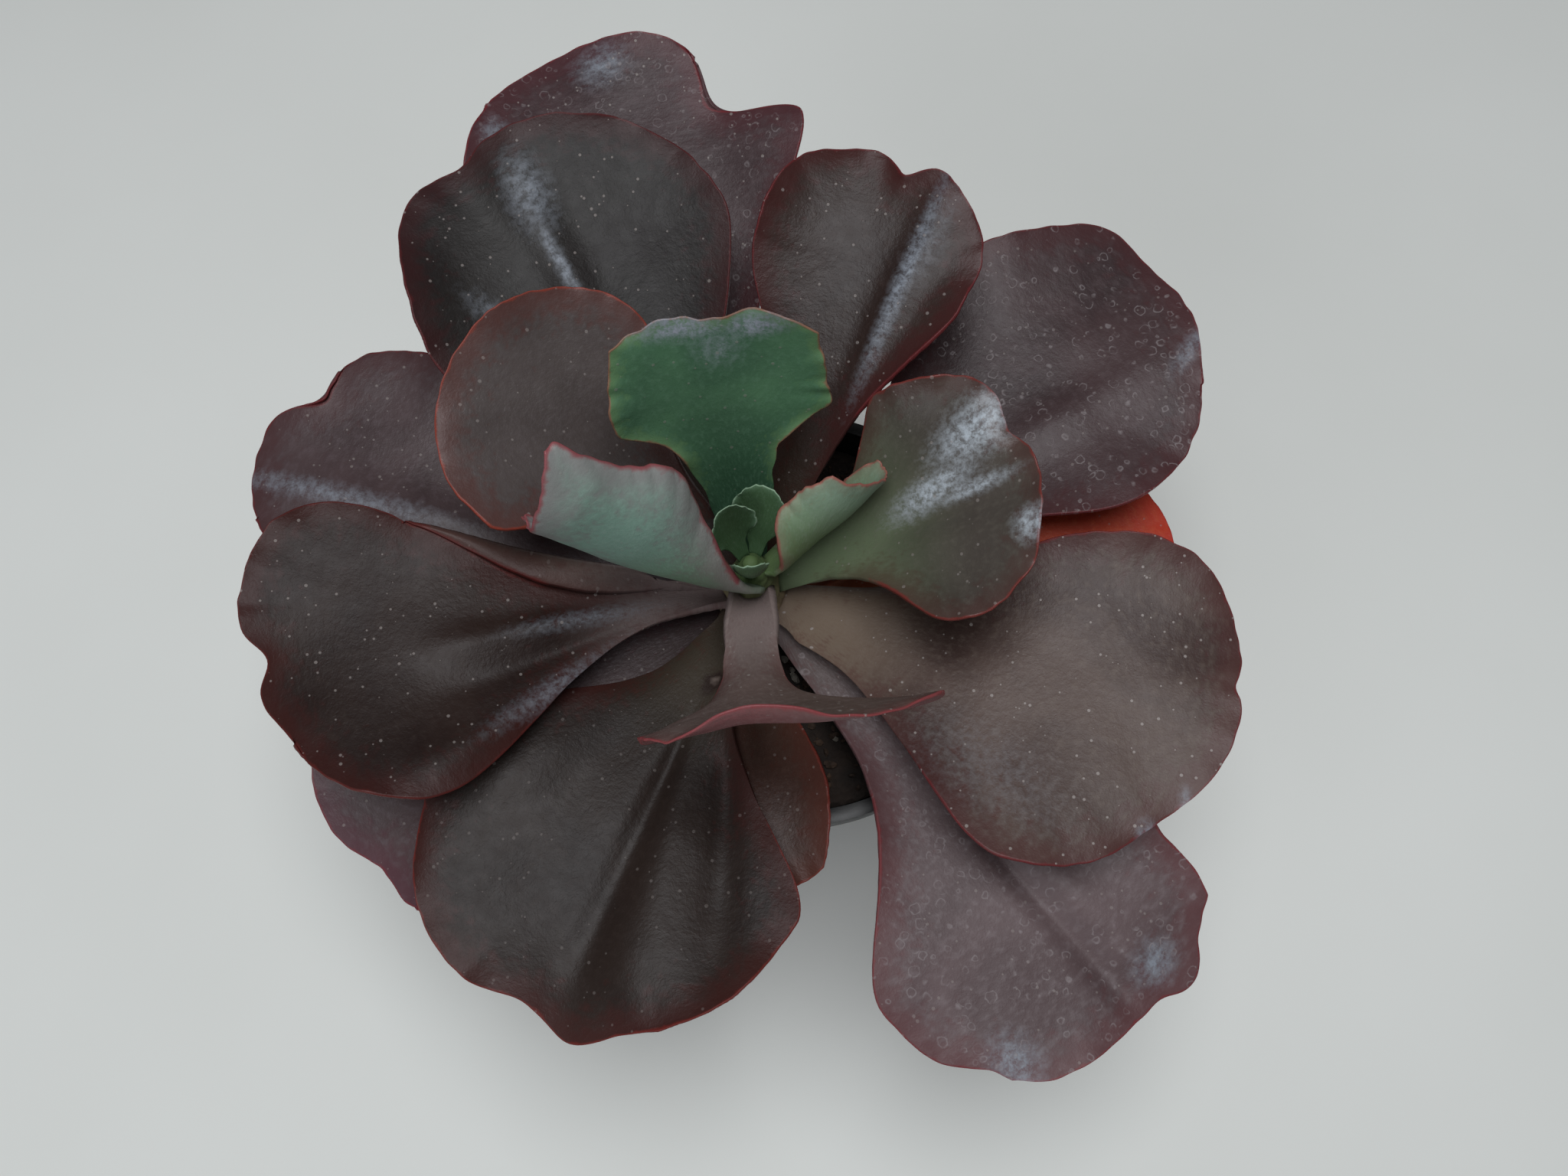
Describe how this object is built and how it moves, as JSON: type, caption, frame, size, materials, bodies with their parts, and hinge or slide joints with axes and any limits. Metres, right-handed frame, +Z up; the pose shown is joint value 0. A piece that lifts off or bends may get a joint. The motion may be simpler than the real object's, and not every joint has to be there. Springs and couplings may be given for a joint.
{
  "type": "potted echeveria",
  "caption": "Large wavy-leaved echeveria rosette on a short stem, standing in soil in a plain round black nursery pot.",
  "frame": {"origin": "centre of the pot's underside, on the surface it stands on", "axes": "+Z up along the pot's axis, +X to the picture's right, +Y away from the picture's viewer"},
  "size_m": [0.3202, 0.3469, 0.2512],
  "materials": {
    "black_plastic": "satin moulded plastic",
    "potting_soil": "coarse damp potting mix",
    "stem_bark": "dry leaf-scarred bark",
    "green_leaf": "satin green leaf skin",
    "pale_leaf": "satin pale grey-green leaf skin with a waxy bloom",
    "bronze_leaf": "satin brown-purple leaf skin with a red edge",
    "olive_leaf": "glossy olive-brown leaf skin with a red edge",
    "maroon_leaf": "satin maroon leaf skin with a red edge",
    "orange_leaf": "satin orange-red skin of an ageing leaf"
  },
  "bodies": {
    "root": {"pot": "black_plastic", "soil": "potting_soil", "stem": "stem_bark", "heart_leaf_1": "green_leaf", "heart_leaf_2": "green_leaf", "heart_leaf_3": "green_leaf", "leaf_01": "pale_leaf", "leaf_02": "pale_leaf", "leaf_03": "green_leaf", "leaf_04": "bronze_leaf", "leaf_05": "olive_leaf", "leaf_06": "bronze_leaf", "leaf_07": "bronze_leaf", "leaf_08": "bronze_leaf", "leaf_09": "olive_leaf", "leaf_10": "maroon_leaf", "leaf_11": "bronze_leaf", "leaf_12": "bronze_leaf", "leaf_13": "bronze_leaf", "leaf_14": "maroon_leaf", "leaf_15": "maroon_leaf", "leaf_16": "maroon_leaf", "leaf_17": "maroon_leaf", "leaf_18": "orange_leaf"}
  },
  "joints": []
}
